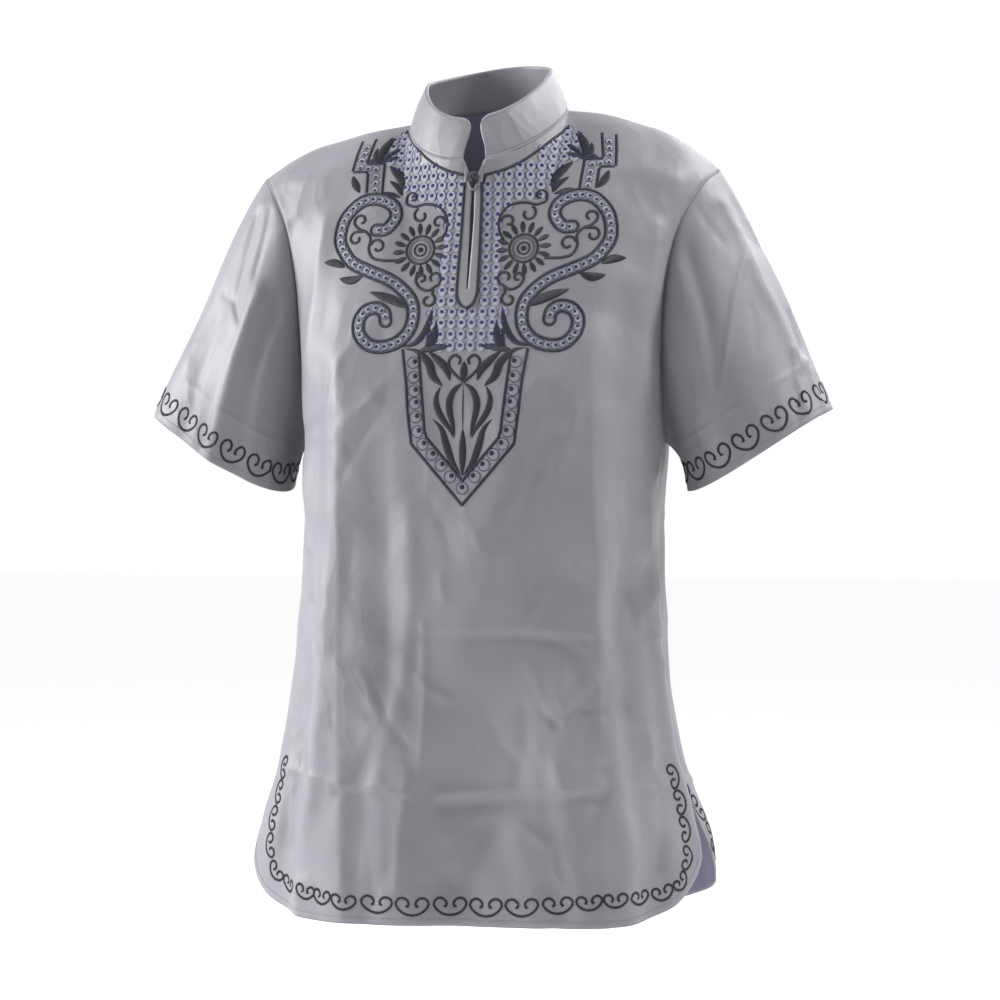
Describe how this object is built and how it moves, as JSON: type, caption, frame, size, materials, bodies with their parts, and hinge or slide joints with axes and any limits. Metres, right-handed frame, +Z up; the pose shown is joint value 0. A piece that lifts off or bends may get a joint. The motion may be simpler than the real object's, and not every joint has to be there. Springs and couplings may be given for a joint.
{
  "type": "dashiki shirt",
  "caption": "Pullover shirt with a stand collar, buttoned neck slit, short wide sleeves and side vents, held as when worn, empty inside.",
  "frame": {"origin": "the middle of the neck seam at the height of the shoulder's high points, where the wearer's neck and shoulders hold the shirt", "axes": "+Z up the body, -Y out of the chest, +X towards the viewer's right when seen from the front"},
  "size_m": [0.684, 0.2759, 0.8501],
  "materials": {
    "cloth": "pale lilac grey polished cotton, plain weave with a faint sheen",
    "facing": "the same cloth, folded and pressed",
    "thread": "charcoal rayon thread, satin stitched, and the thread covered button"
  },
  "bodies": {
    "root": {"front": "cloth", "back": "cloth", "sleeve_left": "cloth", "sleeve_right": "cloth", "collar": "cloth", "placket": "facing", "button_loop": "facing", "button": "thread"}
  },
  "joints": []
}
